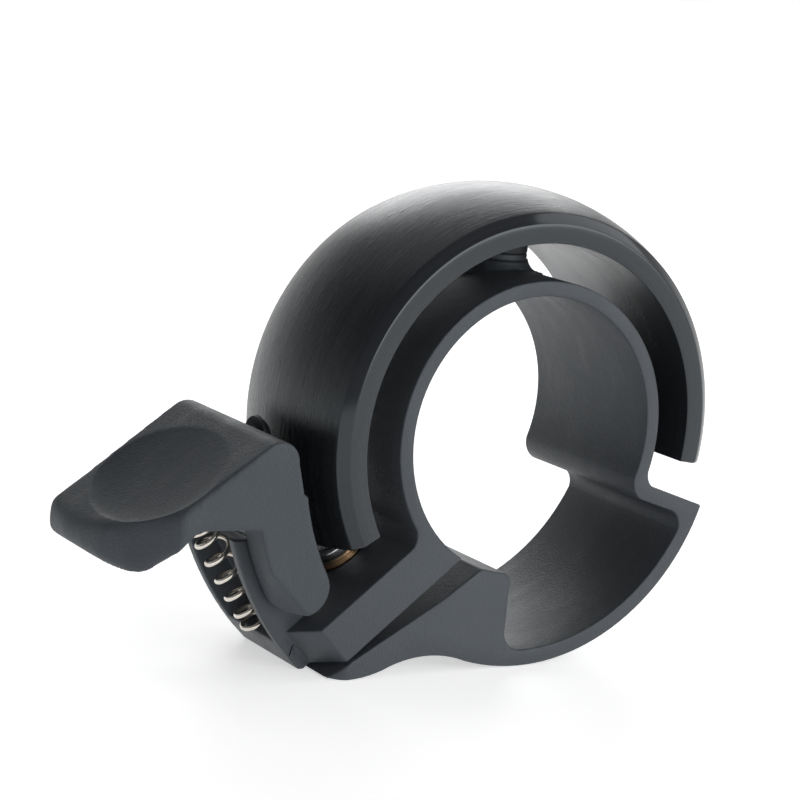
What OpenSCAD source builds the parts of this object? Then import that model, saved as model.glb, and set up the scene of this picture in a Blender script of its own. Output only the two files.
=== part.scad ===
// Handlebar bell: a C-shaped sounding ring carried round a split clamp band,
// struck by a sprung thumb lever.
// Frame: origin on the axis of the handlebar bore at mid width, +Y along the
// bore, +Z up when the bell stands on its two feet, thumb tab towards -X.
// Sizes in millimetres. Side profiles are drawn as (x, z) and extruded along Y.

/* [Clamp band] */
// Radius of the handlebar bore
bore_r = 15.9; // [15.5:0.05:16.2]
// Width of the clamp and of the ring along the handlebar
body_w = 22; // [20:0.5:24]
// Wall of the flexible band
band_t = 1.75; // [1.4:0.05:2.2]
// Height of the bore axis above the surface the bell stands on
stand_h = 26.9; // [26.5:0.1:27.5]

/* [Flanges and hook] */
// Direction of the clamp flanges, measured from +X towards +Z
flange_a = 218.7; // [215:0.1:222]
// Height of the upper flange's top face above the radial line
flange_top = -0.5; // [-1:0.1:0.5]
// Thickness of the upper flange
flange_t = 5.3; // [4.5:0.1:6]
// Gap left at the heel, where the two flanges nearly meet
heel_gap = 0.35; // [0.3:0.05:0.6]
// Outer radius of the spring hook, about the bore axis
hook_r = 36.6; // [36:0.1:37.5]
// Half width of the narrow hook between the lever's cheeks
hook_hw = 6.4; // [6:0.1:7]
// Wall of the spring channel in the hook
hook_wall = 1.3; // [1:0.1:1.8]

/* [Cable guide] */
// Outer radius of the cable-guide lobe
guide_r = 25.3; // [24.5:0.1:26]
// Wall of the cable-guide lobe
guide_t = 1.9; // [1.5:0.1:2.4]
// Slope of the shelf above the lobe, degrees
shelf_a = -17.4; // [-25:0.1:-10]

/* [Sounding ring] */
// Inner radius of the ring
ring_ri = 21.8; // [21:0.1:23]
// Outer radius at the crown
ring_ro = 27.1; // [26.5:0.1:27.8]
// Radius of the crowned section across the width
crown_r = 27; // [22:0.5:40]
// Angle where the ring starts, below +X
ring_a0 = -9.2; // [-15:0.1:0]
// Angle where the ring ends, past -X
ring_a1 = 210; // [200:0.5:212]

/* [Lever] */
// Pivot position, x
piv_x = -27.2; // [-28:0.1:-26]
// Pivot position, z
piv_z = -16.0; // [-17:0.1:-15]
// Inner radius of the lever arm, about the bore axis
arm_ri = 29.2; // [28.8:0.1:30]
// Outer radius of the lever arm, about the bore axis
arm_ro = 35.3; // [34.8:0.1:36]
// Side gap between the hook and each cheek
cheek_gap = 0.3; // [0.2:0.05:0.5]
// Gap between the striker's nose and the ring at rest
strike_gap = 0.8; // [0.5:0.1:1.5]

/* [Pin, spring and screws] */
// Pivot pin radius
pin_r = 0.9; // [0.8:0.05:1.2]
// Return spring wire diameter
wire_d = 0.56; // [0.4:0.02:0.8]
// Return spring outside diameter
spring_od = 3.8; // [3.4:0.1:4.2]
// Spring length as fitted
spring_len = 14.6; // [13:0.1:16]
// Spring turns, closed ends included
spring_n = 7; // [5:0.5:9]
// Clamp screw radius
screw_r = 1.5; // [1.25:0.25:2]
// Clamp screw position along the flange
screw_a = 23.3; // [22:0.1:25]

/* [Hidden] */
$fn = 96;
hw = body_w / 2;
band_r = bore_r + band_t;
fe = [cos(flange_a), sin(flange_a)];
fn_up = [sin(flange_a), -cos(flange_a)];
flange_bot = flange_top - flange_t;
guide_c = [1.3, guide_r - stand_h];
foot_r = 14;
foot_c = [-21.6, foot_r - stand_h];
saddle_r = 14;
sd = [cos(shelf_a), sin(shelf_a)];
sn = [-sin(shelf_a), cos(shelf_a)];
shelf_k = -0.84;
fold_u = 32.85;          // where the flange sides start to taper
fold_m = 2.2 / (hw - hook_hw);
piv = [piv_x, piv_z];
s_dir = [-0.571, 0.821];
s_nrm = [0.821, 0.571];
s_bot = [-27.0, -23.2];
s_top = s_bot + spring_len * s_dir;
ridge_c = [-32.4, -2.3];
ridge_r = 2.4;
tip_c = [-46.95, -12.43];
tip_r = 2.25;
dish_x = -40.9;          // middle of the thumb dish
knob_r = 2.4;
knob_z = -1.9;
knob_x = -sqrt(pow(ring_ro + strike_gap, 2) - knob_z * knob_z);

function fp(a, h) = a * fe + h * fn_up;           // point in the flange's frame
function sp(s, k) = s * sd + k * sn;              // point in the shelf's frame
// centre of the circle touching circles of radius ra about a and rb about b,
// on the side of the line a-b given by side
function meet(a, ra, b, rb, side) =
    let (d = norm(b - a), u = (b - a) / d,
         m = (ra * ra - rb * rb + d * d) / (2 * d),
         h = sqrt(ra * ra - m * m))
    a + m * u + side * h * [u[1], -u[0]];

// ---- helpers -------------------------------------------------------------
module side(w) rotate([90, 0, 0]) linear_extrude(height = w, center = true) children();

module at(p, r) translate(p) circle(r = r);

// the sliver between a corner and a round of radius r about c; the round bites
// 0.03 into both neighbours
module corner(c, r, pts) difference() { polygon(concat([c], pts)); at(c, r + 0.03); }

// a cylinder along the flange's normal, from height h0 to h1 at distance a
module along_flange(a, h0, r, h)
    translate([fp(a, h0)[0], 0, fp(a, h0)[1]]) rotate([0, 180 - flange_a, 0])
        cylinder(r = r, h = h);

// a cylinder along the spring's axis, starting d past its lower end
module along_spring(d, r, h)
    translate([(s_bot + d * s_dir)[0], 0, (s_bot + d * s_dir)[1]])
        rotate([0, -acos(s_dir[1]), 0]) cylinder(r = r, h = h);

// the two planes that narrow the outer end towards the hook, both sides
module taper_cut()
    for (m = [0, 1]) mirror([0, m, 0]) rotate([0, 135, 0])
        linear_extrude(height = 120, center = true)
            polygon([[fold_u - 0.5 * fold_m, hw + 0.5],
                     [fold_u + (hw - hook_hw + 0.2) * fold_m, hook_hw - 0.2],
                     [fold_u + 14, hook_hw - 0.2], [fold_u + 14, hw + 0.5]]);

// ---- clamp base ------------------------------------------------------------
module slot_2d() polygon([
    fp(11, flange_bot), fp(42, flange_bot), fp(42, flange_bot - heel_gap),
    fp(32, flange_bot - heel_gap), fp(24.9, -7.3), fp(19.2, -8.2),
    fp(13.4, -8.6), fp(10, -8.6)]);

// foot under the hook, web, cable-guide lobe up to the shelf, saddle between the feet
module lower() {
    sc = meet(foot_c, foot_r + saddle_r, guide_c, guide_r + saddle_r, 1);
    tl = foot_c + (sc - foot_c) * foot_r / (foot_r + saddle_r);
    tg = guide_c + (sc - guide_c) * guide_r / (guide_r + saddle_r);
    a0 = (tl[0] + 1 + 5.95 * fn_up[0]) / fe[0];
    nose = [-20.9, hw - 3];
    difference() {
        union() {
            side(body_w) intersection() {
                at(foot_c, foot_r);
                polygon([fp(a0, -5.95), fp(45, -5.95), fp(45, -20), [tl[0] + 1, -40]]);
            }
            side(body_w)
                polygon([[tl[0], -28], [tl[0], -14.5], [tg[0] + 0.5, -14.5], [tg[0] + 0.5, -28]]);
            side(body_w) intersection() {
                at(guide_c, guide_r);
                polygon([[tg[0] - 1, -30], [30, -30], sp(34, shelf_k), sp(12, shelf_k), [0, -4],
                         [tg[0] - 1, -8]]);
            }
        }
        side(body_w + 1) at(sc, saddle_r + 0.03);
        // rounded corners of the foot's nose, seen from above
        for (m = [0, 1]) mirror([0, m, 0]) translate([0, 0, -30])
            linear_extrude(height = 14) difference() {
                polygon([nose, [-30, nose[1]], [-30, 13], [nose[0], 13]]);
                at(nose, 3.03);
            }
    }
}

// the cable pocket inside the lobe
module pocket() {
    pr = guide_r - guide_t;
    pk = shelf_k - 1.8;
    px = -0.95;
    bl = [px + 2.5, guide_c[1] - sqrt(pow(pr - 2.5, 2) - pow(px + 2.5 - guide_c[0], 2))];
    tk = pk - 2;
    gs = guide_c * sd;
    gk = guide_c * sn;
    tr = sp(gs + sqrt(pow(pr - 2, 2) - pow(tk - gk, 2)), tk);
    difference() {
        side(body_w + 1) intersection() {
            at(guide_c, pr);
            polygon([[px, -30], [30, -30], sp(33, pk), sp(10, pk), [px, -6]]);
        }
        side(body_w + 2) corner(bl, 2.5, [[px - 0.2, bl[1]], [px - 0.2, bl[1] - 4],
                                 guide_c + (bl - guide_c) * (pr + 0.3) / (pr - 2.5)]);
        side(body_w + 2) corner(tr, 2, [guide_c + (tr - guide_c) * (pr + 0.3) / (pr - 2),
                                        tr + 3.4 * (sn + sd) / 1.4, tr + 2.2 * sn]);
    }
}

// band, upper flange, lobe and feet, as wide as the bell
module wide_body() difference() {
    union() {
        side(body_w) circle(r = band_r);
        difference() {
            side(body_w) intersection() {
                at([0, 0], hook_r);
                polygon([fp(12, flange_top), fp(42, flange_top), fp(42, flange_bot - 0.08),
                         fp(12, flange_bot - 0.08)]);
                above_floor();
            }
            taper_cut();
        }
        // round where the flange leaves the band
        let (h = flange_top + 2, c = fp(sqrt(pow(band_r + 2, 2) - h * h), h))
            side(body_w) corner(c, 2, [c * band_r / (band_r + 2.2), fp(15, flange_top - 2),
                                       fp(c * fe, flange_top - 0.2)]);
        lower();
        // round where the shelf meets the band
        let (k = shelf_k + 2, c = sp(sqrt(pow(band_r + 2, 2) - k * k), k))
            side(body_w) corner(c, 2, [c * band_r / (band_r + 2.2), sp(15, shelf_k - 1),
                                       sp(c * sd, shelf_k - 0.2)]);
    }
    side(body_w + 1) circle(r = bore_r);
    pocket();
    side(body_w + 1) slot_2d();
    // rounds on the inner corners of the hinge fold and of the lower pad
    let (k = shelf_k - 1.8 + 2.5, c = sp(sqrt(pow(bore_r + 2.5, 2) - k * k), k))
        side(body_w + 1) corner(c, 2.5, [c * bore_r / (bore_r + 2.7), sp(14.8, shelf_k - 2.2),
                                         sp(c * sd, shelf_k - 2)]);
    let (c = [-2.15, -sqrt(pow(bore_r + 1.2, 2) - 2.15 * 2.15)])
        side(body_w + 1) corner(c, 1.2, [c * bore_r / (bore_r + 1.4), [-0.7, -15.6],
                                         [-0.75, c[1]]]);
}

// keeps the hook's tip just off the surface the bell stands on
module above_floor() translate([-60, 0.05 - stand_h]) square([120, 90]);

module hook_2d() intersection() {
    at([0, 0], hook_r);
    polygon([[-29.6, -11.7], [-26.6, -12.9], [-24.6, -14.4], [-24.1, -16.6], [-24.4, -20.6],
             [-26, -24], fp(40, flange_bot - 0.08), [-40, -20], [-40, -11.7]]);
    above_floor();
}

module clamp_base() color([0.13, 0.135, 0.145]) difference() {
    union() {
        wide_body();
        // boss that carries the ring, with a flared root
        rotate_extrude() difference() {
            polygon([[0, 16.2], [5.4, 16.2], [5.4, 18.6], [3.4, 18.6], [3.4, 19.4],
                     [0, 19.4]]);
            at([5.5, 19.1], 2);
        }
        difference() {
            side(2 * hook_hw) hook_2d();
            side(body_w + 1) slot_2d();
        }
    }
    // spring channel, open outwards
    side(2 * (hook_hw - hook_wall)) polygon([
        s_bot + 2.3 * s_nrm, s_bot + 2.3 * s_nrm + 24 * s_dir,
        s_bot - 9 * s_nrm + 24 * s_dir, s_bot - 9 * s_nrm]);
    // pivot pin bore
    translate([piv_x, 0, piv_z]) rotate([90, 0, 0])
        cylinder(r = pin_r - 0.01, h = body_w, center = true);
    // clamp screw: spot face, clearance bore and nut pocket
    along_flange(screw_a, flange_top - 0.6, 4.0, 6);
    along_flange(screw_a, -16, screw_r + 0.2, 18);
    along_flange_hex();
    // ring screw: countersink and clearance bore
    translate([0, 0, 14]) cylinder(r = 2.4, h = 2.15);
    translate([0, 0, 16.14]) cylinder(r1 = 2.4, r2 = 1.35, h = 1.06);
    translate([0, 0, 17]) cylinder(r = 1.35, h = 4);
}

module along_flange_hex()
    translate([fp(screw_a, -16)[0], 0, fp(screw_a, -16)[1]]) rotate([0, 180 - flange_a, 0])
        rotate([0, 0, 30]) cylinder(r = 3.25, h = 6.2, $fn = 6);

// ---- sounding ring ---------------------------------------------------------
module ring_section() intersection() {
    translate([ring_ro - crown_r, 0]) circle(r = crown_r, $fn = 180);
    polygon([[ring_ri + 0.3, -hw], [24.0, -hw], [25.2, -hw + 0.9], [31, -5], [31, 5],
             [25.2, hw - 0.9], [24.0, hw], [ring_ri + 0.3, hw],
             [ring_ri, hw - 0.3], [ring_ri, -hw + 0.3]]);
}

module sounding_ring() color([0.1, 0.1, 0.11]) difference() {
    rotate([90, 0, 0]) rotate([0, 0, ring_a0])
        rotate_extrude(angle = ring_a1 - ring_a0, $fn = 180) ring_section();
    // blind hole for the ring screw
    translate([0, 0, 20]) cylinder(r = 1.23, h = 5.3);
}

module ring_bush() color([0.2, 0.2, 0.21]) difference() {
    translate([0, 0, 19.4]) cylinder(r = 3.4, h = 3);
    difference() {
        rotate([90, 0, 0]) cylinder(r = 30, h = 20, center = true);
        rotate([90, 0, 0]) cylinder(r = ring_ri - 0.02, h = 22, center = true);
    }
    cylinder(r = 1.35, h = 30);
}

module ring_screw() color([0.6, 0.6, 0.62]) difference() {
    union() {
        translate([0, 0, 16.17]) cylinder(r1 = 2.3, r2 = 1.25, h = 1.05);
        translate([0, 0, 17.1]) cylinder(r = 1.25, h = 7.9);
    }
    translate([0, 0, 16]) cylinder(r = 0.87, h = 0.95, $fn = 6);
}

// ---- lever ------------------------------------------------------------------
// arm, concentric with the bore, rounded at the pivot end
module arm_2d() {
    ea = atan2(piv_z - 0.3, piv_x - 0.6);
    er = (arm_ri + arm_ro) / 2;
    intersection() {
        difference() { circle(r = arm_ro, $fn = 180); circle(r = arm_ri, $fn = 180); }
        polygon([[0, 0], 60 * [cos(ea), sin(ea)], [-60, -18], [-60, -12.2]]);
    }
    at(er * [cos(ea), sin(ea)], (arm_ro - arm_ri) / 2);
}

// ridge, tab and tip
module head_2d() {
    d = (tip_c - ridge_c) / norm(tip_c - ridge_c);
    m = [d[1], -d[0]];
    q = (ridge_r - tip_r) / norm(tip_c - ridge_c);
    n = m * sqrt(1 - q * q) + d * q;
    at(ridge_c, ridge_r);
    at(tip_c, tip_r);
    polygon([ridge_c + ridge_r * n, ridge_c + [ridge_r, 0], [-28.72, -6.9], [-28.3, -9.0],
             [-34.0, -9.4], [-41.2, -9.4], tip_c + tip_r * [0.5, -0.866],
             tip_c + tip_r * n]);
}

module thumb_lever() color([0.14, 0.145, 0.155]) {
    difference() {
        union() {
            difference() { side(body_w) arm_2d(); taper_cut(); }
            intersection() {
                side(body_w) head_2d();
                // plan outline: the free edge bows outwards and falls back at the near corner
                translate([-25.5, 4.6, -30]) cylinder(r = 23.7, h = 40, $fn = 180);
            }
            // seat for the spring's upper end
            intersection() {
                along_spring(spring_len + 0.02, 2.3, 5);
                side(8) polygon([[-42, -8.5], [-42, -16], [-30, -16], [-30, -8.5]]);
            }
            along_spring(spring_len - 1.2, 1.15, 2);
        }
        // fork between the cheeks
        side(2 * (hook_hw + cheek_gap)) difference() {
            polygon([[-37, -9.4], [-22, -9.4], [-22, -24], [-37, -24]]);
            polygon([s_top - 3.2 * s_nrm, s_top + 3.2 * s_nrm, s_top + 3.2 * s_nrm + 6 * s_dir,
                     s_top - 3.2 * s_nrm + 6 * s_dir]);
        }
        // thumb dish
        translate([dish_x, -0.2, -0.05 + 0.7166 * (dish_x + 33.17)]) rotate([0, -35.6, 0])
            translate([0.6, 0, 0.49]) rotate([0, -3.4, 0])
            scale([1.367, 1.75, 0.2333]) sphere(r = 6, $fn = 120);
        // blind pin bores in the two cheeks
        translate([piv_x, 0, piv_z]) rotate([90, 0, 0])
            cylinder(r = pin_r + 0.04, h = 19, center = true);
        // striker bore
        translate([-32.2, 0, knob_z]) rotate([0, 90, 0]) cylinder(r = 1.2, h = 6);
    }
}

module striker() color([0.09, 0.09, 0.1])
    translate([-32.1, 0, knob_z]) rotate([0, 90, 0]) rotate_extrude() {
        square([1.21, 3]);
        len = knob_x + 32.1;
        translate([0, 2.4]) square([knob_r, len - 2.4 - 1.5]);
        translate([0, len - 1.6]) intersection() {
            translate([0, 1.6 - 2.6]) circle(r = 2.6);
            square([knob_r, 3]);
        }
    }

module pivot_pin() color([0.7, 0.7, 0.72])
    translate([piv_x, 0, piv_z]) rotate([90, 0, 0]) rotate_extrude()
        polygon([[0, -9.3], [pin_r - 0.15, -9.3], [pin_r, -9.15], [pin_r, 9.15],
                 [pin_r - 0.15, 9.3], [0, 9.3]]);

// ---- return spring ----------------------------------------------------------
// wire centre height after t turns: closed end turns, even pitch between
function coil_z(t) =
    let (c = 0.9, p0 = wire_d * 1.08, rise = spring_len - wire_d - 2 * c * p0)
    wire_d / 2 + (t < c ? p0 * t
        : t > spring_n - c ? c * p0 + rise + p0 * (t - spring_n + c)
        : c * p0 + rise * (t - c) / (spring_n - 2 * c));

module return_spring() color([0.75, 0.74, 0.7])
    translate([s_bot[0], 0, s_bot[1]]) rotate([0, -acos(s_dir[1]), 0]) {
        steps = 22;
        sides = 8;
        n = spring_n * steps;
        cr = (spring_od - wire_d) / 2;
        pts = [for (i = [0 : n]) let (t = i / steps, a = 360 * t)
               for (k = [0 : sides - 1]) let (b = 360 * k / sides)
                   [(cr + wire_d / 2 * cos(b)) * cos(a),
                    (cr + wire_d / 2 * cos(b)) * sin(a),
                    coil_z(t) + wire_d / 2 * sin(b)]];
        faces = concat(
            [[for (k = [0 : sides - 1]) k]],
            [for (i = [0 : n - 1]) for (k = [0 : sides - 1]) let (j = (k + 1) % sides)
                [i * sides + k, (i + 1) * sides + k, (i + 1) * sides + j, i * sides + j]],
            [[for (k = [sides - 1 : -1 : 0]) n * sides + k]]);
        polyhedron(points = pts, faces = faces, convexity = 10);
    }

// ---- clamp screw, washer and nut ---------------------------------------------
module clamp_screw() color([0.78, 0.78, 0.8])
    translate([fp(screw_a, flange_top)[0], 0, fp(screw_a, flange_top)[1]])
        rotate([0, 180 - flange_a, 0]) difference() {
            rotate_extrude() polygon([
                [0, -12.2], [screw_r - 0.3, -12.2], [screw_r, -11.9], [screw_r, 0.02],
                [3.0, 0.02], [3.0, 1.45], [2.6, 1.9], [0, 1.9]]);
            // hexagon socket
            translate([0, 0, 0.7]) cylinder(r = 1.45, h = 3, $fn = 6);
        }

module clamp_washer() color([0.72, 0.5, 0.28]) difference() {
    along_flange(screw_a, flange_top - 0.6, 3.6, 0.6);
    along_flange(screw_a, flange_top - 2, screw_r + 0.15, 4);
}

module clamp_nut() color([0.7, 0.7, 0.72]) difference() {
    translate([fp(screw_a, -12.3)[0], 0, fp(screw_a, -12.3)[1]]) rotate([0, 180 - flange_a, 0])
        rotate([0, 0, 30]) cylinder(r = 3.17, h = 2.45, $fn = 6);
    along_flange(screw_a, -14, screw_r + 0.04, 6);
}

// ---- the assembly --------------------------------------------------------------
clamp_base();
sounding_ring();
ring_bush();
ring_screw();
thumb_lever();
striker();
pivot_pin();
return_spring();
clamp_screw();
clamp_washer();
clamp_nut();
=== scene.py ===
"""Looks of a handlebar bell: a sounding ring on a split clamp band, with a sprung thumb lever.

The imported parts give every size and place. Each sub-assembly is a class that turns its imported
parts into softened or newly modelled pieces, gives them their finishes, and puts them on the
body that they move with. Lengths are in metres.
"""

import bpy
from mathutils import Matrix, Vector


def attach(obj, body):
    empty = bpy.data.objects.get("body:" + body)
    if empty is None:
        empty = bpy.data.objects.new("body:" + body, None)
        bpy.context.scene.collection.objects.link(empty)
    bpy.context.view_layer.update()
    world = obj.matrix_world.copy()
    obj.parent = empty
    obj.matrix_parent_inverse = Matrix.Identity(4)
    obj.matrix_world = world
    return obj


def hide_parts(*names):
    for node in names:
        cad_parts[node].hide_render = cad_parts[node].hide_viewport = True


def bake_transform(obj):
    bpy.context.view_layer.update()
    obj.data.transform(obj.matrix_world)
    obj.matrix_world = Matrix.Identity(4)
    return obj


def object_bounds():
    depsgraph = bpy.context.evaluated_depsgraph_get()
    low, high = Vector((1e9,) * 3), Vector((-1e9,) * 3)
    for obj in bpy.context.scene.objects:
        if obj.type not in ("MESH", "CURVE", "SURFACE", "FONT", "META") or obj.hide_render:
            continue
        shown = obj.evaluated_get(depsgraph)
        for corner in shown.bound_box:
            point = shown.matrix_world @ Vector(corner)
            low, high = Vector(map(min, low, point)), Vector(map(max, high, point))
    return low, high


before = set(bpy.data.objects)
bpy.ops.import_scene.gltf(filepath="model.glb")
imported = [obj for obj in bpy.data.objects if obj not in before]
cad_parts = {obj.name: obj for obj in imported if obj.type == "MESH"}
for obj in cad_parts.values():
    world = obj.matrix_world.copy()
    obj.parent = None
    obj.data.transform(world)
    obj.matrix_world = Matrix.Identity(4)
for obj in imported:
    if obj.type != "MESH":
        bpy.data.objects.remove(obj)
CAD_BOX = [list(corner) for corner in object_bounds()]

import logging
import math
from dataclasses import dataclass, field
from enum import Enum
from typing import Dict, List, Optional, Sequence, Tuple

import bmesh
import bpy
from mathutils import Matrix, Vector

LOG = logging.getLogger("bell")
MM = 0.001
WELD = 0.002 * MM
SLIVER = 0.03 * MM
Colour = Tuple[float, float, float]
WHITE: Colour = (1.0, 1.0, 1.0)
BLUISH: Colour = (0.86, 0.95, 1.0)


class Body(Enum):
    """The bodies that pieces move with."""

    FRAME = "frame"
    LEVER = "lever"
    SCREW = "screw"


class Slot(Enum):
    """The material slots of the record."""

    NYLON = "nylon_black"
    LEVER = "nylon_lever"
    ANODISED = "anodised_black"
    RUBBER = "rubber_dark"
    STRIKER = "striker_black"
    SPRING = "spring_steel"
    PLATED = "steel_plated"
    BRIGHT = "steel_bright"
    BRASS = "brass"


class Graph:
    """A node tree with short ways to add and join nodes."""

    def __init__(self, tree: bpy.types.NodeTree) -> None:
        """Keeps the tree.

        Args:
            tree: the node tree that nodes are added to.
        """
        self.tree = tree

    def add(self, kind: str, **values: object) -> bpy.types.Node:
        """Adds a node.

        Args:
            kind: the node's type without the "ShaderNode" in front.
            values: properties of the node.

        Returns:
            The new node.
        """
        node = self.tree.nodes.new("ShaderNode" + kind)
        for name, value in values.items():
            setattr(node, name, value)
        return node

    def join(self, source: bpy.types.NodeSocket, target: bpy.types.NodeSocket) -> None:
        """Links an output to an input."""
        self.tree.links.new(source, target)

    def feed(self, value: object, target: bpy.types.NodeSocket) -> None:
        """Links a socket to an input, or sets the input to a number.

        Args:
            value: a socket or a number.
            target: the input.
        """
        if isinstance(value, bpy.types.NodeSocket):
            self.join(value, target)
        else:
            target.default_value = value

    def math(self, operation: str, a: object, b: object = 0.0) -> bpy.types.NodeSocket:
        """Adds a Math node.

        Args:
            operation: the node's operation.
            a: a socket or a number.
            b: a socket or a number.

        Returns:
            The node's output.
        """
        node = self.add("Math", operation=operation)
        self.feed(a, node.inputs[0])
        self.feed(b, node.inputs[1])
        return node.outputs[0]

    def plus(self, a: object, b: object) -> bpy.types.NodeSocket:
        """Adds two sockets or numbers."""
        return self.math("ADD", a, b)

    def times(self, a: object, b: object) -> bpy.types.NodeSocket:
        """Multiplies two sockets or numbers."""
        return self.math("MULTIPLY", a, b)

    def attribute(self, name: str) -> bpy.types.NodeSocket:
        """Reads a value that the mesh carries at its vertices."""
        return self.add("Attribute", attribute_name=name).outputs["Fac"]

    def ramp(self, value: bpy.types.NodeSocket, low: float, high: float,
             to_low: float = 0.0, to_high: float = 1.0) -> bpy.types.NodeSocket:
        """Maps a value from one span to another, with a soft start and end.

        Args:
            value: the socket to map.
            low: the value that gives to_low.
            high: the value that gives to_high.
            to_low: the result at and below low.
            to_high: the result at and above high.

        Returns:
            The mapped value.
        """
        node = self.add("MapRange", interpolation_type="SMOOTHSTEP")
        self.join(value, node.inputs["Value"])
        for name, number in (("From Min", low), ("From Max", high),
                             ("To Min", to_low), ("To Max", to_high)):
            node.inputs[name].default_value = number
        return node.outputs["Result"]

    def noise(self, vector: bpy.types.NodeSocket, scale: object, detail: float = 3.0,
              roughness: float = 0.55) -> bpy.types.NodeSocket:
        """Adds a noise texture.

        Args:
            vector: the coordinates.
            scale: a socket or a number of cells a metre.
            detail: how many octaves.
            roughness: how strong the finer octaves are.

        Returns:
            The noise's value.
        """
        node = self.add("TexNoise")
        self.join(vector, node.inputs["Vector"])
        self.feed(scale, node.inputs["Scale"])
        node.inputs["Detail"].default_value = detail
        node.inputs["Roughness"].default_value = roughness
        return node.outputs["Fac"]

    def spread(self, noise: bpy.types.NodeSocket) -> bpy.types.NodeSocket:
        """Stretches a noise's middle values over the whole span from 0 to 1."""
        return self.ramp(noise, 0.3, 0.7)

    def mixed(self, mask: bpy.types.NodeSocket, first: Colour,
              second: Colour) -> bpy.types.NodeSocket:
        """Mixes two colours by a mask.

        Args:
            mask: 0 gives the first colour and 1 the second.
            first: the first colour.
            second: the second colour.

        Returns:
            The mixed colour.
        """
        mix = self.add("Mix", data_type="RGBA")
        self.join(mask, mix.inputs[0])
        mix.inputs[6].default_value = (*first, 1.0)
        mix.inputs[7].default_value = (*second, 1.0)
        return mix.outputs[2]


def new_group(name: str, inputs: Sequence[Tuple[str, str, object]],
              outputs: Sequence[str]) -> Tuple[bpy.types.NodeTree, Graph,
                                               bpy.types.Node, bpy.types.Node]:
    """Starts a shader node group.

    Args:
        name: the group's name.
        inputs: name, socket type and default value of each input.
        outputs: name of each output, which is a value.

    Returns:
        The group, its graph, its input node and its output node.
    """
    tree = bpy.data.node_groups.new(name, "ShaderNodeTree")
    for label, kind, value in inputs:
        socket = tree.interface.new_socket(label, in_out="INPUT", socket_type=kind)
        if value is not None:
            socket.default_value = value
    for label in outputs:
        tree.interface.new_socket(label, in_out="OUTPUT", socket_type="NodeSocketFloat")
    graph = Graph(tree)
    return (tree, graph, tree.nodes.new("NodeGroupInput"), tree.nodes.new("NodeGroupOutput"))


def moulded_grain_group(coarse_scale: float = 0.35, cloud_scale: float = 0.03,
                        fine_share: float = 0.7, coarse_share: float = 0.3
                        ) -> bpy.types.NodeTree:
    """Builds the spark-eroded grain of a moulded face.

    Args:
        coarse_scale: the coarse grain's scale as a share of the fine grain's.
        cloud_scale: the cloud's scale as a share of the fine grain's.
        fine_share: how much of the height is fine grain.
        coarse_share: how much of the height is coarse grain.

    Returns:
        A group that gives the grain's height and a slow cloud of tone.
    """
    tree, graph, start, end = new_group(
        "moulded_grain",
        [("Vector", "NodeSocketVector", None), ("Scale", "NodeSocketFloat", 4000.0)],
        ["Height", "Cloud"])
    vector, scale = start.outputs["Vector"], start.outputs["Scale"]
    fine = graph.noise(vector, scale, 4.0, 0.65)
    coarse = graph.noise(vector, graph.times(scale, coarse_scale), 2.0)
    height = graph.plus(graph.times(fine, fine_share), graph.times(coarse, coarse_share))
    graph.join(graph.spread(height), end.inputs["Height"])
    cloud = graph.noise(vector, graph.times(scale, cloud_scale), 3.0)
    graph.join(graph.spread(cloud), end.inputs["Cloud"])
    return tree


def handling_group(smear_scale: float = 110.0, speck_scale: float = 900.0,
                   rarity_scale: float = 420.0) -> bpy.types.NodeTree:
    """Builds faint rub marks and dust specks.

    Args:
        smear_scale: cells a metre of the rub marks.
        speck_scale: cells a metre that may each hold a speck.
        rarity_scale: cells a metre of the mask that keeps a few of the specks.

    Returns:
        A group that gives a smear mask and a speck mask.
    """
    tree, graph, start, end = new_group(
        "handling", [("Vector", "NodeSocketVector", None)], ["Smear", "Speck"])
    vector = start.outputs["Vector"]
    warp = graph.add("Mapping")
    warp.inputs["Rotation"].default_value = (0.4, 0.9, 0.3)
    warp.inputs["Scale"].default_value = (1.0, 3.2, 1.0)
    graph.join(vector, warp.inputs["Vector"])
    smear = graph.noise(warp.outputs["Vector"], smear_scale, 5.0, 0.6)
    graph.join(graph.ramp(smear, 0.42, 0.68), end.inputs["Smear"])
    cells = graph.add("TexVoronoi", feature="F1")
    cells.inputs["Scale"].default_value = speck_scale
    graph.join(vector, cells.inputs["Vector"])
    dot = graph.ramp(cells.outputs["Distance"], 0.05, 0.11, 1.0, 0.0)
    rare = graph.ramp(graph.noise(vector, rarity_scale, 1.0), 0.62, 0.7)
    graph.join(graph.times(dot, rare), end.inputs["Speck"])
    return tree


def turned_lines_group(turn_stretch: float = 0.00035,
                       band_scale: float = 0.12) -> bpy.types.NodeTree:
    """Builds the fine lines left by turning or brushing round the bore axis.

    Args:
        turn_stretch: metres of pattern for each radian round the axis, small for long lines.
        band_scale: the broad bands' scale as a share of the lines'.

    Returns:
        A group that gives the lines' height and broad bands of tone.
    """
    tree, graph, start, end = new_group(
        "turned_lines",
        [("Vector", "NodeSocketVector", None), ("Scale", "NodeSocketFloat", 9000.0)],
        ["Lines", "Bands"])
    parts = graph.add("SeparateXYZ")
    graph.join(start.outputs["Vector"], parts.inputs[0])
    x, y, z = parts.outputs
    radius = graph.math("SQRT", graph.plus(graph.times(x, x), graph.times(z, z)))
    angle = graph.math("ARCTAN2", z, x)
    across = graph.add("CombineXYZ")
    graph.join(radius, across.inputs[0])
    graph.join(y, across.inputs[1])
    graph.join(graph.times(angle, turn_stretch), across.inputs[2])
    lines = graph.noise(across.outputs[0], start.outputs["Scale"], 3.0, 0.6)
    graph.join(graph.spread(lines), end.inputs["Lines"])
    broad = graph.times(start.outputs["Scale"], band_scale)
    bands = graph.noise(across.outputs[0], broad, 2.0)
    graph.join(graph.spread(bands), end.inputs["Bands"])
    return tree


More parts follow.
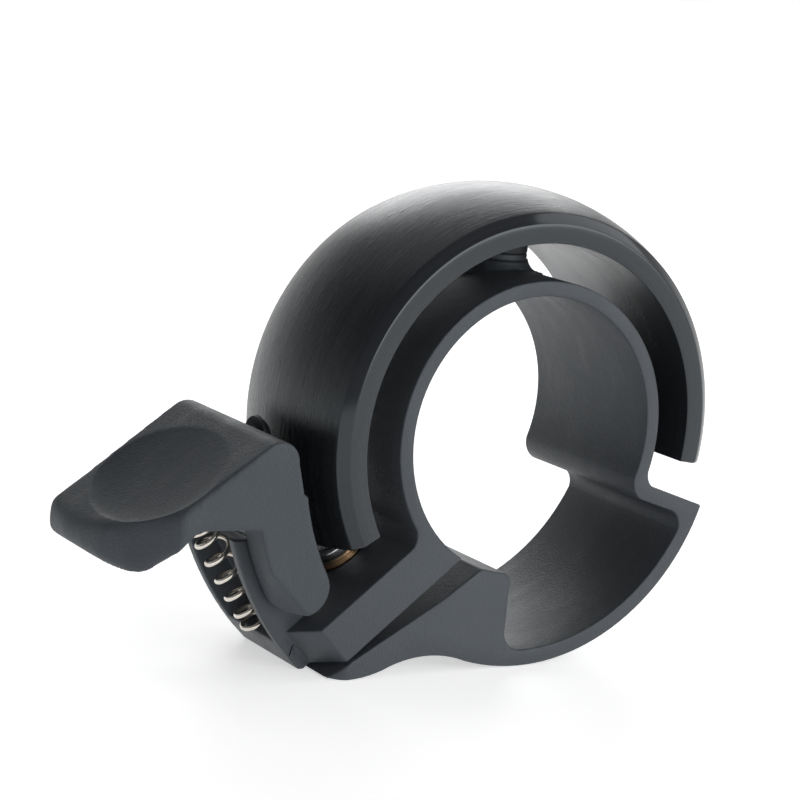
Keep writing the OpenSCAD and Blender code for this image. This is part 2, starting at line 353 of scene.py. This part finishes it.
class Groups:
    """The shared node groups, built once."""

    def __init__(self) -> None:
        """Builds each group."""
        self.grain = moulded_grain_group()
        self.handling = handling_group()
        self.turned = turned_lines_group()


@dataclass(frozen=True)
class Finish:
    """What every finish has: a name, a slot and its plain surface values."""

    name: str
    slot: Slot
    colour: Colour
    roughness: float
    sheen: Colour = field(default=BLUISH, kw_only=True)

    def start(self) -> Tuple[bpy.types.Material, Graph, bpy.types.Node,
                             bpy.types.NodeSocket]:
        """Starts the material.

        Returns:
            The material, its graph, its shader and its Object coordinates.
        """
        material = bpy.data.materials.new(self.name)
        material.use_nodes = True
        graph = Graph(material.node_tree)
        shader = material.node_tree.nodes["Principled BSDF"]
        shader.inputs["Base Color"].default_value = (*self.colour, 1.0)
        shader.inputs["Roughness"].default_value = self.roughness
        shader.inputs["Specular Tint"].default_value = (*self.sheen, 1.0)
        coords = graph.add("TexCoord").outputs["Object"]
        return material, graph, shader, coords

    def place(self, graph: Graph, group: bpy.types.NodeTree,
              coords: bpy.types.NodeSocket, **values: float) -> bpy.types.Node:
        """Puts a shared group into the material.

        Args:
            graph: the material's graph.
            group: the group to place.
            coords: its coordinates.
            values: values of its other inputs.

        Returns:
            The group's node.
        """
        node = graph.add("Group", node_tree=group)
        graph.join(coords, node.inputs["Vector"])
        for label, number in values.items():
            node.inputs[label].default_value = number
        return node

    def tint(self, graph: Graph, shader: bpy.types.Node, mask: bpy.types.NodeSocket,
             other: Colour) -> None:
        """Mixes the base colour towards another by a mask and feeds the shader.

        Args:
            graph: the material's graph.
            shader: the shader.
            mask: where the other colour shows.
            other: the other colour.
        """
        graph.join(graph.mixed(mask, self.colour, other), shader.inputs["Base Color"])

    def relief(self, graph: Graph, shader: bpy.types.Node, height: bpy.types.NodeSocket,
               depth: float) -> None:
        """Raises the surface's normal by a height.

        Args:
            graph: the material's graph.
            shader: the shader.
            height: the height mask.
            depth: the height of a full mask.
        """
        bump = graph.add("Bump")
        bump.inputs["Strength"].default_value = 1.0
        bump.inputs["Distance"].default_value = depth
        graph.join(height, bump.inputs["Height"])
        graph.join(bump.outputs[0], shader.inputs["Normal"])


@dataclass(frozen=True)
class MouldedNylon(Finish):
    """Black glass-filled nylon with a fine eroded grain, slightly polished edges and a painted
    edge highlight: its rounded edges are painted a lighter colour.
    """

    grain: float = 4200.0
    depth: float = 0.03 * MM
    # lighter colour for the random cloud of tone, the dust specks and the painted edge highlight
    # on rounded edges
    dust_tone_and_highlight_colour: Colour = (0.045, 0.048, 0.055)
    edge_highlight_share: float = 0.5
    cloud_share: float = 0.25
    speck_share: float = 0.3
    smear_polish: float = -0.07
    edge_polish: float = -0.06
    grain_roughness: float = 0.08

    def build(self, groups: Groups) -> bpy.types.Material:
        """Builds the material.

        Args:
            groups: the shared node groups.

        Returns:
            The material.
        """
        material, graph, shader, coords = self.start()
        grain = self.place(graph, groups.grain, coords, Scale=self.grain)
        marks = self.place(graph, groups.handling, coords)
        rim = graph.attribute("rim")
        # painted edge highlight: the rounded edges are mixed towards the lighter colour; the
        # cloud is random tone and the specks are dust
        edge = graph.times(rim, self.edge_highlight_share)
        cloud = graph.times(grain.outputs["Cloud"], self.cloud_share)
        speck = graph.times(marks.outputs["Speck"], self.speck_share)
        light = graph.math("MAXIMUM", graph.math("MAXIMUM", edge, cloud), speck)
        self.tint(graph, shader, light, self.dust_tone_and_highlight_colour)
        rough = graph.plus(self.roughness,
                           graph.times(marks.outputs["Smear"], self.smear_polish))
        rough = graph.plus(rough, graph.times(rim, self.edge_polish))
        rough = graph.plus(rough, graph.times(grain.outputs["Height"], self.grain_roughness))
        graph.join(rough, shader.inputs["Roughness"])
        self.relief(graph, shader, grain.outputs["Height"], self.depth)
        return material


@dataclass(frozen=True)
class BrushedAnodised(Finish):
    """Black anodised aluminium, brushed round the bore axis on its crown."""

    lines: float = 9000.0
    depth: float = 0.012 * MM
    ior: float = 1.55
    line_colour: Colour = (0.022, 0.0235, 0.027)
    plain_share: float = 0.45
    line_share: float = 0.5
    band_share: float = 0.25
    crown_roughness: float = 0.2
    inner_roughness: float = 0.12
    line_polish: float = -0.08
    smear_roughness: float = 0.04

    def build(self, groups: Groups) -> bpy.types.Material:
        """Builds the material.

        Args:
            groups: the shared node groups.

        Returns:
            The material.
        """
        material, graph, shader, coords = self.start()
        shader.inputs["IOR"].default_value = self.ior
        turned = self.place(graph, groups.turned, coords, Scale=self.lines)
        marks = self.place(graph, groups.handling, coords)
        crown = graph.attribute("crown")
        inner = graph.attribute("inner")
        lines = graph.times(turned.outputs["Lines"], crown)
        plain = graph.times(graph.math("SUBTRACT", 1.0, crown), self.plain_share)
        tone = graph.plus(plain, graph.plus(
            graph.times(lines, self.line_share),
            graph.times(turned.outputs["Bands"], self.band_share)))
        self.tint(graph, shader, tone, self.line_colour)
        rough = graph.plus(self.roughness, graph.times(crown, self.crown_roughness))
        rough = graph.plus(rough, graph.times(inner, self.inner_roughness))
        rough = graph.plus(rough, graph.times(lines, self.line_polish))
        rough = graph.plus(rough, graph.times(marks.outputs["Smear"], self.smear_roughness))
        graph.join(rough, shader.inputs["Roughness"])
        self.relief(graph, shader, lines, self.depth)
        return material


@dataclass(frozen=True)
class WorkedMetal(Finish):
    """Plated or ground metal with faint marks, such as the screw, nut, pin and spring."""

    grain: float = 6000.0
    depth: float = 0.004 * MM
    sheen: Colour = field(default=WHITE, kw_only=True)
    stain: Colour = (0.4, 0.38, 0.35)
    stain_share: float = 0.3
    smear_roughness: float = 0.12

    def build(self, groups: Groups) -> bpy.types.Material:
        """Builds the material.

        Args:
            groups: the shared node groups.

        Returns:
            The material.
        """
        material, graph, shader, coords = self.start()
        shader.inputs["Metallic"].default_value = 1.0
        grain = self.place(graph, groups.grain, coords, Scale=self.grain)
        marks = self.place(graph, groups.handling, coords)
        mask = graph.times(marks.outputs["Smear"], self.stain_share)
        self.tint(graph, shader, mask, self.stain)
        rough = graph.plus(self.roughness,
                           graph.times(marks.outputs["Smear"], self.smear_roughness))
        graph.join(rough, shader.inputs["Roughness"])
        self.relief(graph, shader, grain.outputs["Height"], self.depth)
        return material


@dataclass(frozen=True)
class SmoothDark(Finish):
    """Smooth dark rubber or hard plastic."""

    other: Colour = (0.04, 0.04, 0.043)
    grain: float = 5200.0
    depth: float = 0.006 * MM
    smear_roughness: float = 0.12

    def build(self, groups: Groups) -> bpy.types.Material:
        """Builds the material.

        Args:
            groups: the shared node groups.

        Returns:
            The material.
        """
        material, graph, shader, coords = self.start()
        grain = self.place(graph, groups.grain, coords, Scale=self.grain)
        marks = self.place(graph, groups.handling, coords)
        self.tint(graph, shader, grain.outputs["Cloud"], self.other)
        rough = graph.plus(self.roughness,
                           graph.times(marks.outputs["Smear"], self.smear_roughness))
        graph.join(rough, shader.inputs["Roughness"])
        self.relief(graph, shader, grain.outputs["Height"], self.depth)
        return material


FINISHES = (
    MouldedNylon("nylon_black", Slot.NYLON, (0.034, 0.04, 0.047), 0.5),
    MouldedNylon("nylon_lever", Slot.LEVER, (0.037, 0.043, 0.051), 0.55, grain=3600.0,
                 depth=0.045 * MM),
    BrushedAnodised("anodised_black", Slot.ANODISED, (0.005, 0.006, 0.0075), 0.12),
    SmoothDark("rubber_dark", Slot.RUBBER, (0.03, 0.03, 0.032), 0.5),
    SmoothDark("striker_black", Slot.STRIKER, (0.012, 0.012, 0.013), 0.28,
               other=(0.02, 0.02, 0.022), depth=0.003 * MM),
    WorkedMetal("spring_steel", Slot.SPRING, (0.78, 0.73, 0.66), 0.2),
    WorkedMetal("steel_plated", Slot.PLATED, (0.72, 0.72, 0.73), 0.22),
    WorkedMetal("steel_bright", Slot.BRIGHT, (0.6, 0.6, 0.61), 0.3),
    WorkedMetal("brass", Slot.BRASS, (0.62, 0.4, 0.22), 0.3, stain=(0.3, 0.17, 0.09)),
)


def round_edges(bm: bmesh.types.BMesh, edges: List[bmesh.types.BMEdge], width: float,
                segments: int) -> List[bmesh.types.BMFace]:
    """Bevels edges with a round profile.

    Args:
        bm: the mesh.
        edges: the edges to round.
        width: how far the rounding reaches from each edge.
        segments: how many faces cross each rounding.

    Returns:
        The new faces.
    """
    made = bmesh.ops.bevel(bm, geom=edges, offset=width, offset_type="OFFSET",
                           segments=segments, profile=0.5, affect="EDGES",
                           clamp_overlap=False, material=-1)
    return made["faces"]


class Workshop:
    """Makes finished pieces: meshes in the frame, a material, a slot and a body each."""

    crease: float = 24.0
    segments: int = 3
    flat: float = 0.4

    def __init__(self) -> None:
        """Builds the shared groups and every finish."""
        groups = Groups()
        self.materials: Dict[Slot, bpy.types.Material] = {
            finish.slot: finish.build(groups) for finish in FINISHES}

    def hand_in(self, name: str, bm: bmesh.types.BMesh, slot: Slot, body: Optional[Body],
                node: str, sharp: float = 32.0) -> bpy.types.Object:
        """Turns a bmesh into a finished piece.

        Args:
            name: the piece's name.
            bm: its shape, which is freed.
            slot: its material slot.
            body: the body that it moves with, or None to leave it unattached.
            node: the CAD node that it stands for.
            sharp: faces that meet at more than this, in degrees, keep a crisp edge.

        Returns:
            The piece.
        """
        mesh = bpy.data.meshes.new(name)
        bm.to_mesh(mesh)
        bm.free()
        mesh.polygons.foreach_set("use_smooth", [True] * len(mesh.polygons))
        mesh.set_sharp_from_angle(angle=math.radians(sharp))
        piece = bpy.data.objects.new(name, mesh)
        bpy.context.scene.collection.objects.link(piece)
        piece.data.materials.append(self.materials[slot])
        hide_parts(node)
        if body:
            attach(piece, body.value)
        LOG.info("%s: %d faces on %s", name, len(mesh.polygons),
                 body.value if body else "two bodies")
        return piece

    def softened(self, node: str, width: float) -> bmesh.types.BMesh:
        """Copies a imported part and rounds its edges.

        Args:
            node: the part's node.
            width: how far the rounding reaches from each edge.

        Returns:
            The rounded copy, with a "rim" value of 1 on its rounded edges.
        """
        bm = bmesh.new()
        bm.from_mesh(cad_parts[node].data)
        for layer in list(bm.loops.layers.uv.values()):
            bm.loops.layers.uv.remove(layer)
        bmesh.ops.remove_doubles(bm, verts=bm.verts[:], dist=SLIVER)
        bmesh.ops.dissolve_limit(bm, angle_limit=math.radians(self.flat), verts=bm.verts[:],
                                 edges=bm.edges[:], use_dissolve_boundaries=False)
        limit = math.radians(self.crease)
        edges = [e for e in bm.edges if len(e.link_faces) == 2 and e.calc_face_angle() > limit]
        rim = bm.verts.layers.float.new("rim")
        for face in round_edges(bm, edges, width, self.segments):
            for vert in face.verts:
                vert[rim] = 1.0
        return bm

    def moulded(self, node: str, voxel: float, passes: int) -> bmesh.types.BMesh:
        """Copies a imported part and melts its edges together, as on a soft-edged moulding.

        Args:
            node: the part's node.
            voxel: the cell size of the new mesh.
            passes: how often it is smoothed.

        Returns:
            The soft-edged copy.
        """
        bm = bmesh.new()
        bm.from_mesh(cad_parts[node].data)
        bmesh.ops.remove_doubles(bm, verts=bm.verts[:], dist=WELD)
        mesh = bpy.data.meshes.new(node + "_raw")
        bm.to_mesh(mesh)
        bm.free()
        holder = bpy.data.objects.new(node + "_raw", mesh)
        bpy.context.scene.collection.objects.link(holder)
        cells = holder.modifiers.new("cells", "REMESH")
        cells.mode = "VOXEL"
        cells.voxel_size = voxel
        smooth = holder.modifiers.new("smooth", "SMOOTH")
        smooth.factor = 0.5
        smooth.iterations = passes
        depsgraph = bpy.context.evaluated_depsgraph_get()
        result = bpy.data.meshes.new_from_object(holder.evaluated_get(depsgraph))
        bm = bmesh.new()
        bm.from_mesh(result)
        bpy.data.objects.remove(holder)
        bpy.data.meshes.remove(mesh)
        bpy.data.meshes.remove(result)
        return bm


@dataclass
class ClampBase:
    """The nylon moulding: band, flanges, spring hook, feet and cable guide."""

    edge: float = 0.22 * MM

    def build(self, shop: Workshop) -> None:
        """Builds the moulding.

        Args:
            shop: the workshop that finishes it.
        """
        bm = shop.softened("clamp_base", self.edge)
        shop.hand_in("clamp_moulding", bm, Slot.NYLON, Body.FRAME, "clamp_base")


@dataclass
class SoundingRing:
    """The ring with its bush and the screw that holds it."""

    inner: float = 21.8 * MM
    outer: float = 27.1 * MM
    crown: float = 27.0 * MM
    half_width: float = 11.0 * MM
    chamfer_in: float = 24.0 * MM
    chamfer_out: float = 25.2 * MM
    chamfer_depth: float = 0.9 * MM
    corner: float = 0.16 * MM
    end_edge: float = 0.4 * MM
    end_segments: int = 4
    start: float = -9.2
    stop: float = 210.0
    steps: int = 180
    crown_steps: int = 12
    bush_edge: float = 0.15 * MM
    screw_edge: float = 0.05 * MM
    margin: float = 0.02 * MM
    brushed_margin: float = 0.3 * MM

    def section(self, bm: bmesh.types.BMesh) -> bmesh.types.BMFace:
        """Draws half the ring's section and mirrors it.

        Args:
            bm: where it is drawn.

        Returns:
            The section's face, in the X-Y plane.
        """
        shoulder = self.half_width - self.chamfer_depth
        centre = self.outer - self.crown
        low = math.asin(shoulder / self.crown)
        half = [(self.inner, self.half_width), (self.chamfer_in, self.half_width)]
        for step in range(self.crown_steps + 1):
            angle = low * (1 - step / self.crown_steps)
            half.append((centre + self.crown * math.cos(angle), self.crown * math.sin(angle)))
        points = half + [(x, -y) for x, y in reversed(half[:-1])]
        return bm.faces.new([bm.verts.new((x, y, 0.0)) for x, y in points])

    def turned(self) -> bmesh.types.BMesh:
        """Turns the section round the bore axis and rounds its corners and ends.

        Returns:
            The ring, which stops short of a full turn.
        """
        bm = bmesh.new()
        face = self.section(bm)
        corners = [v for v in face.verts if abs(v.co.y) > self.half_width - WELD
                   or abs(abs(v.co.y) - self.half_width + self.chamfer_depth) < WELD]
        bmesh.ops.bevel(bm, geom=corners, offset=self.corner, offset_type="OFFSET", segments=3,
                        profile=0.5, affect="VERTICES", clamp_overlap=True, material=-1)
        turn = Matrix.Rotation(math.radians(-self.start), 3, "Y")
        bmesh.ops.rotate(bm, verts=bm.verts[:], cent=(0, 0, 0), matrix=turn)
        bmesh.ops.spin(bm, geom=bm.faces[:], cent=(0, 0, 0), axis=(0, -1, 0), dvec=(0, 0, 0),
                       angle=math.radians(self.stop - self.start), steps=self.steps,
                       use_merge=False, use_duplicate=False)
        bmesh.ops.recalc_face_normals(bm, faces=bm.faces[:])
        ends = [e for e in bm.edges if len(e.link_faces) == 2
                and sum(len(f.verts) > 6 for f in e.link_faces) == 1]
        round_edges(bm, ends, self.end_edge, self.end_segments)
        return bm

    def build(self, shop: Workshop) -> None:
        """Builds the ring, bush and screw.

        Args:
            shop: the workshop that finishes them.
        """
        bm = self.turned()
        crown = bm.verts.layers.float.new("crown")
        inner = bm.verts.layers.float.new("inner")
        for vert in bm.verts:
            radius = math.hypot(vert.co.x, vert.co.z)
            between = abs(vert.co.y) < self.half_width - self.chamfer_depth + self.margin
            brushed = radius > self.chamfer_out - self.brushed_margin and between
            vert[crown] = 1.0 if brushed else 0.0
            vert[inner] = 1.0 if radius < self.inner + self.margin else 0.0
        shop.hand_in("ring", bm, Slot.ANODISED, Body.FRAME, "sounding_ring")
        shop.hand_in("bush", shop.softened("ring_bush", self.bush_edge), Slot.RUBBER,
                     Body.FRAME, "ring_bush")
        shop.hand_in("ring_fixing", shop.softened("ring_screw", self.screw_edge), Slot.BRIGHT,
                     Body.FRAME, "ring_screw")


@dataclass
class ThumbLever:
    """The lever moulding with its striker and pin."""

    voxel: float = 0.17 * MM
    passes: int = 9
    lip_steps: Tuple[Tuple[float, int], ...] = (
        (-35.5 * MM, 8), (-37.5 * MM, 12), (-39.5 * MM, 18), (-41.5 * MM, 24), (-43.5 * MM, 30))
    dish_centre: Tuple[float, float] = (-40.9 * MM, -0.2 * MM)
    dish_half: Tuple[float, float] = (6.6 * MM, 10.4 * MM)
    striker_edge: float = 0.1 * MM
    pin_edge: float = 0.05 * MM

    def outside_dish(self, vert: bmesh.types.BMVert) -> bool:
        """Tells whether a vertex is outside the dish's outline, seen from above.

        Args:
            vert: the vertex.

        Returns:
            True outside the outline.
        """
        across = (vert.co.x - self.dish_centre[0]) / self.dish_half[0]
        along = (vert.co.y - self.dish_centre[1]) / self.dish_half[1]
        return across ** 2 + along ** 2 > 1.0

    def round_tip(self, bm: bmesh.types.BMesh) -> None:
        """Gives the tab's free edge a round lip and leaves the dish as it is.

        Args:
            bm: the lever's mesh.
        """
        around = [v for v in bm.verts if self.outside_dish(v)]
        for begin, passes in self.lip_steps:
            lip = [v for v in around if v.co.x < begin]
            for _ in range(passes):
                bmesh.ops.smooth_vert(bm, verts=lip, factor=0.5, use_axis_x=True,
                                      use_axis_y=True, use_axis_z=True)

    def build(self, shop: Workshop) -> None:
        """Builds the lever, striker and pin.

        Args:
            shop: the workshop that finishes them.
        """
        bm = shop.moulded("thumb_lever", self.voxel, self.passes)
        self.round_tip(bm)
        shop.hand_in("lever_moulding", bm, Slot.LEVER, Body.LEVER, "thumb_lever", sharp=180.0)
        shop.hand_in("striker_nose", shop.softened("striker", self.striker_edge), Slot.STRIKER,
                     Body.LEVER, "striker")
        shop.hand_in("hinge_pin", shop.softened("pivot_pin", self.pin_edge), Slot.BRIGHT,
                     Body.FRAME, "pivot_pin")


@dataclass
class ReturnSpring:
    """The coil between the hook's floor and the tab; it is not attached to the lever, though the
    real spring bends as the lever moves.
    """

    wire: float = 0.56 * MM
    sides: int = 16
    outside: float = 3.8 * MM
    length: float = 14.6 * MM
    turns: float = 7.0
    closed: float = 0.9
    closed_pitch: float = 1.08
    steps_a_turn: int = 40
    foot: Vector = field(default_factory=lambda: Vector((-27.0, 0.0, -23.2)) * MM)
    slant: Vector = field(default_factory=lambda: Vector((-0.571, 0.0, 0.821)))

    def wound(self) -> bmesh.types.BMesh:
        """Sweeps the wire up the Z axis in three runs: closed end, open coils, closed end.

        Returns:
            The upright coil, with its foot at the origin.
        """
        bm = bmesh.new()
        mean = (self.outside - self.wire) / 2
        made = bmesh.ops.create_circle(bm, cap_ends=True, segments=self.sides,
                                       radius=self.wire / 2)
        bmesh.ops.rotate(bm, verts=made["verts"], cent=(0, 0, 0),
                         matrix=Matrix.Rotation(math.radians(90), 3, "X"))
        bmesh.ops.translate(bm, verts=made["verts"], vec=(mean, 0, self.wire / 2))
        pitch = self.wire * self.closed_pitch
        end_run = (self.closed, pitch * self.closed)
        open_run = (self.turns - 2 * self.closed,
                    self.length - self.wire - 2 * self.closed * pitch)
        geom: List[object] = bm.faces[:]
        for turns, climb in (end_run, open_run, end_run):
            steps = max(4, round(turns * self.steps_a_turn))
            out = bmesh.ops.spin(bm, geom=geom, cent=(0, 0, 0), axis=(0, 0, 1),
                                 dvec=(0, 0, climb / steps), angle=math.tau * turns,
                                 steps=steps, use_merge=False, use_duplicate=False)
            geom = out["geom_last"]
        bmesh.ops.remove_doubles(bm, verts=bm.verts[:], dist=WELD / 2)
        bmesh.ops.recalc_face_normals(bm, faces=bm.faces[:])
        return bm

    def build(self, shop: Workshop) -> None:
        """Builds the spring between the hook and the lever.

        Args:
            shop: the workshop that finishes it.
        """
        bm = self.wound()
        lean = Vector((0, 0, 1)).rotation_difference(self.slant).to_matrix().to_4x4()
        bmesh.ops.transform(bm, verts=bm.verts[:],
                            matrix=Matrix.Translation(self.foot) @ lean)
        coil = shop.hand_in("spring_coil", bm, Slot.SPRING, None, "return_spring", sharp=60.0)
        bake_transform(coil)


@dataclass
class ClampFixing:
    """The screw, washer and nut that close the clamp."""

    screw_edge: float = 0.12 * MM
    washer_edge: float = 0.06 * MM
    nut_edge: float = 0.1 * MM

    def build(self, shop: Workshop) -> None:
        """Builds the three pieces.

        Args:
            shop: the workshop that finishes them.
        """
        shop.hand_in("socket_screw", shop.softened("clamp_screw", self.screw_edge),
                     Slot.PLATED, Body.SCREW, "clamp_screw")
        shop.hand_in("washer", shop.softened("clamp_washer", self.washer_edge), Slot.BRASS,
                     Body.FRAME, "clamp_washer")
        shop.hand_in("nut", shop.softened("clamp_nut", self.nut_edge), Slot.PLATED,
                     Body.FRAME, "clamp_nut")


@dataclass(frozen=True)
class Panel:
    """A broad light from far away, like one side of a light tent.

    Attributes:
        name: the light's name.
        towards: the way from the bell to the light.
        spread: how wide it looks from the bell, in degrees.
        strength: its strength in watts a square metre.
    """

    name: str
    towards: Tuple[float, float, float]
    spread: float
    strength: float

    def hang(self) -> None:
        """Adds the light."""
        data = bpy.data.lights.new(self.name, "SUN")
        data.angle = math.radians(self.spread)
        data.energy = self.strength
        lamp = bpy.data.objects.new(self.name, data)
        lamp.rotation_euler = Vector(self.towards).to_track_quat("Z", "Y").to_euler()
        bpy.context.scene.collection.objects.link(lamp)


PANELS = (
    Panel("back_panel", (-0.1, 0.45, 0.9), 50.0, 0.2),
    Panel("rim_panel", (0.46, 0.82, 0.44), 34.0, 0.8),
    Panel("side_panel", (0.75, -0.26, 0.6), 40.0, 0.5),
    Panel("front_panel", (0.4, -0.95, 0.15), 60.0, 2.2),
)


@dataclass
class Studio:
    """A pale floor, soft lights and the camera."""

    place: Vector = field(default_factory=lambda: Vector((-0.1634963, -0.2318717, 0.0535003)))
    back: Vector = field(default_factory=lambda: Vector((-0.53990, -0.82170, 0.18250)))
    roll: float = 5.912
    lens: float = 112.38
    sensor: float = 36.0
    nearest: float = 0.01
    farthest: float = 20.0
    floor_half: float = 4.0
    floor_glow: float = 0.55
    floor_roughness: float = 0.6
    floor_gloss: float = 0.2
    floor_cells: float = 30.0
    floor_tones: Tuple[Colour, Colour] = ((0.9, 0.9, 0.9), (0.92, 0.92, 0.92))

    def floor_finish(self) -> bpy.types.Material:
        """Builds the floor's matt white, which glows a little like a lit backdrop.

        Returns:
            The material.
        """
        material = bpy.data.materials.new("floor_white")
        material.use_nodes = True
        graph = Graph(material.node_tree)
        shader = material.node_tree.nodes["Principled BSDF"]
        shader.inputs["Roughness"].default_value = self.floor_roughness
        shader.inputs["Specular IOR Level"].default_value = self.floor_gloss
        noise = graph.noise(graph.add("TexCoord").outputs["Object"], self.floor_cells, 4.0)
        graph.join(graph.mixed(noise, *self.floor_tones), shader.inputs["Base Color"])
        shader.inputs["Emission Color"].default_value = (*WHITE, 1.0)
        shader.inputs["Emission Strength"].default_value = self.floor_glow
        return material

    def floor(self) -> None:
        """Lays the floor at the height that the bell stands on."""
        bm = bmesh.new()
        bmesh.ops.create_grid(bm, x_segments=1, y_segments=1, size=self.floor_half)
        bmesh.ops.translate(bm, verts=bm.verts[:], vec=(0, 0, CAD_BOX[0][2]))
        mesh = bpy.data.meshes.new("floor")
        bm.to_mesh(mesh)
        bm.free()
        plane = bpy.data.objects.new("floor", mesh)
        bpy.context.scene.collection.objects.link(plane)
        plane.data.materials.append(self.floor_finish())

    def world(self) -> None:
        """Surrounds the bell with a white tent, dimmer high up, in front and to the left.

        A straight look at the tent shows plain white.
        """
        world = bpy.data.worlds.new("tent")
        bpy.context.scene.world = world
        world.use_nodes = True
        graph = Graph(world.node_tree)
        shade = world.node_tree.nodes["Background"]
        parts = graph.add("SeparateXYZ")
        graph.join(graph.add("TexCoord").outputs["Generated"], parts.inputs[0])
        x, y, z = parts.outputs
        height = graph.ramp(z, 0.05, 0.5, 1.0, 0.28)
        front = graph.ramp(y, -0.7, 0.3, 0.6, 1.0)
        side = graph.ramp(x, -0.6, 0.1, 0.35, 1.0)
        tent = graph.times(graph.times(height, front), side)
        seen = graph.add("LightPath").outputs["Is Camera Ray"]
        graph.join(graph.math("MAXIMUM", tent, seen), shade.inputs["Strength"])
        shade.inputs["Color"].default_value = (*WHITE, 1.0)

    def camera(self) -> None:
        """Sets up the camera."""
        data = bpy.data.cameras.new("camera")
        data.lens = self.lens
        data.sensor_width = self.sensor
        data.clip_start = self.nearest
        data.clip_end = self.farthest
        camera = bpy.data.objects.new("camera", data)
        back = self.back.normalized()
        right = Vector((0, 0, 1)).cross(back).normalized()
        up = back.cross(right)
        basis = Matrix((right, up, back)).transposed()
        basis = basis @ Matrix.Rotation(math.radians(self.roll), 3, "Z")
        camera.matrix_world = Matrix.Translation(self.place) @ basis.to_4x4()
        bpy.context.scene.collection.objects.link(camera)
        bpy.context.scene.camera = camera

    def build(self) -> None:
        """Builds the floor, world, lights and camera."""
        self.floor()
        self.world()
        for panel in PANELS:
            panel.hang()
        self.camera()
        bpy.context.scene.view_settings.view_transform = "Standard"


def main() -> None:
    """Builds the bell and the studio."""
    logging.basicConfig(level=logging.INFO, format="%(name)s: %(message)s")
    shop = Workshop()
    for assembly in (ClampBase(), SoundingRing(), ThumbLever(), ReturnSpring(), ClampFixing()):
        assembly.build(shop)
    Studio().build()


if __name__ == "__main__":
    main()
